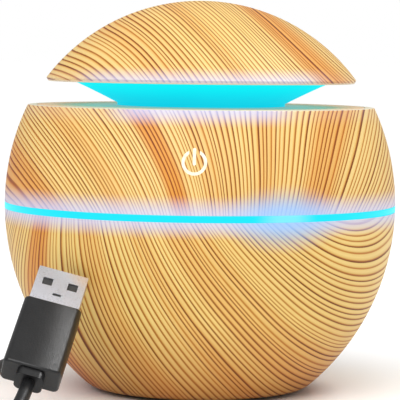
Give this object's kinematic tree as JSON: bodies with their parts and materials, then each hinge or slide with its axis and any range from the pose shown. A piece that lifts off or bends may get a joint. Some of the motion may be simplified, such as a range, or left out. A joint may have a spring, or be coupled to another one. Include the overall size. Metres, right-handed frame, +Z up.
{
  "type": "essential oil diffuser",
  "caption": "Ball-shaped ultrasonic essential oil diffuser with a wood-print shell, a lit cone under its lift-off lid, a light ring at the waist and a USB power lead.",
  "frame": {"origin": "on the body's vertical axis, at the level of the surface that the feet stand on", "axes": "+Z up along the body's axis, -Y towards the front, which carries the power mark, +Y towards the power socket"},
  "size_m": [0.1252, 0.2101, 0.0993],
  "materials": {
    "wood_print": "satin printed wood grain on ABS",
    "cream_plastic": "satin moulded",
    "lit_plastic": "translucent, lit cyan from inside",
    "mark_ink": "satin",
    "white_plastic": "satin moulded",
    "black_plastic": "fine texture",
    "circuit_board": "solder mask",
    "led_package": "moulded",
    "silicone": "soft matt",
    "foot_rubber": "matt",
    "screw_steel": "zinc plated",
    "brass": "bright",
    "winding": "enamelled copper",
    "wire_jacket": "smooth",
    "plug_metal": "nickel plated",
    "tongue_plastic": "smooth",
    "lead_black": "satin"
  },
  "bodies": {
    "root": {"lower_shell": "wood_print", "upper_shell": "wood_print", "top_plate": "cream_plastic", "light_ring": "lit_plastic", "power_icon": "mark_ink", "water_tank": "white_plastic", "fan_duct": "white_plastic", "piezo_retainer": "white_plastic", "base_plate": "black_plastic", "fan_frame": "black_plastic", "power_jack": "black_plastic", "control_chip": "black_plastic", "driver_transistor": "black_plastic", "capacitors": "black_plastic", "main_board": "circuit_board", "led_board": "circuit_board", "touch_board": "circuit_board", "leds": "led_package", "tank_seal": "silicone", "piezo_gasket": "silicone", "touch_pad": "silicone", "feet": "foot_rubber", "base_screws": "screw_steel", "tank_screws": "screw_steel", "piezo_screws": "screw_steel", "board_screws": "screw_steel", "fan_screws": "screw_steel", "jack_pin": "screw_steel", "piezo_disc": "brass", "fan_bearing": "brass", "usb_contacts": "brass", "inductor": "winding", "fan_stator": "winding", "piezo_wire": "wire_jacket", "led_wire": "wire_jacket", "touch_wire": "wire_jacket", "fan_wire": "wire_jacket", "usb_shell": "plug_metal", "usb_tongue": "tongue_plastic", "usb_grip": "lead_black", "usb_collar": "lead_black", "cord_drop": "lead_black", "cord_coil": "lead_black", "cord_run": "lead_black", "cord_tie": "lead_black"},
    "lid_cone": {"light_cone": "lit_plastic"},
    "lid_dome": {"lid_dome": "wood_print", "mist_nozzle": "white_plastic"},
    "fan_rotor": {"fan_rotor": "black_plastic"},
    "power_plug": {"dc_plug_barrel": "plug_metal", "dc_plug_grip": "lead_black"}
  },
  "joints": [
    {"name": "lid_lift", "type": "slide", "parent": "root", "child": "lid_cone", "axis": [0, 0, 1], "range_m": [0, 0.06]},
    {"name": "lid_turn", "type": "hinge", "parent": "lid_cone", "child": "lid_dome", "pos_m": [0, 0, 0.0802], "axis": [0, 0, 1], "continuous": true},
    {"name": "fan_spin", "type": "hinge", "parent": "root", "child": "fan_rotor", "pos_m": [-0.009, 0, 0.0075], "axis": [0, 0, 1], "continuous": true},
    {"name": "plug_pull", "type": "slide", "parent": "root", "child": "power_plug", "axis": [0, 1, 0], "range_m": [0, 0.01], "deforming": ["cord_drop"]}
  ]
}
